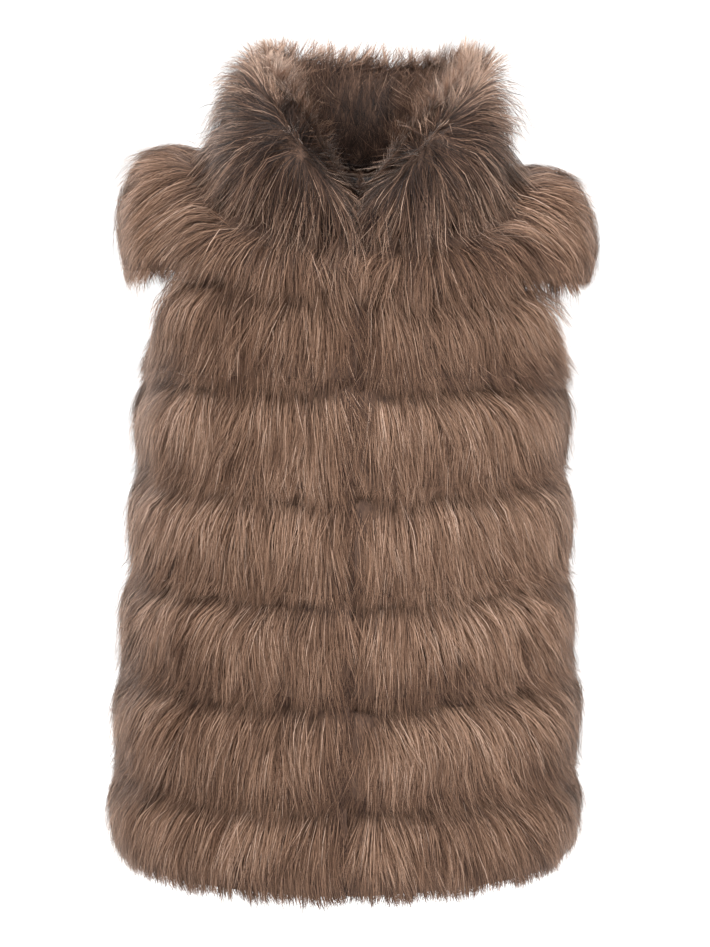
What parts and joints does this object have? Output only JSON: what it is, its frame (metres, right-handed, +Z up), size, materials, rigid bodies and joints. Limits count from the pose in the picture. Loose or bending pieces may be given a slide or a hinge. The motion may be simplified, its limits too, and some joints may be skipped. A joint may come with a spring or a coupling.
{
  "type": "fur vest",
  "caption": "Hip-length sleeveless fur vest of horizontal bands with a full rolled fur collar, capped shoulders and an edge-to-edge front, filled out as worn and hollow inside.",
  "frame": {"origin": "on the neck axis, level with the points where the shoulder seams meet the collar", "axes": "+Z up, the front faces -Y, +X towards the wearer's left"},
  "size_m": [0.4507, 0.3009, 0.7518],
  "materials": {
    "taupe_fur": "long soft fur, warm taupe brown",
    "collar_fur": "long soft fur, darker towards the neck",
    "black_satin": "smooth black lining satin",
    "woven_label": "blank woven tape"
  },
  "bodies": {
    "root": {"chest_band_left_front": "taupe_fur", "chest_band_right_front": "taupe_fur", "chest_band_back": "taupe_fur", "bust_band_left_front": "taupe_fur", "bust_band_right_front": "taupe_fur", "bust_band_back": "taupe_fur", "midriff_band_left_front": "taupe_fur", "midriff_band_right_front": "taupe_fur", "midriff_band_back": "taupe_fur", "waist_band_left_front": "taupe_fur", "waist_band_right_front": "taupe_fur", "waist_band_back": "taupe_fur", "hip_band_left_front": "taupe_fur", "hip_band_right_front": "taupe_fur", "hip_band_back": "taupe_fur", "hem_band_left_front": "taupe_fur", "hem_band_right_front": "taupe_fur", "hem_band_back": "taupe_fur", "yoke_left_front": "taupe_fur", "yoke_right_front": "taupe_fur", "yoke_back": "taupe_fur", "collar_outer": "collar_fur", "collar_inner": "collar_fur", "lining_left_front": "black_satin", "lining_right_front": "black_satin", "lining_back": "black_satin", "lining_yoke": "black_satin", "neck_label": "woven_label"}
  },
  "joints": []
}
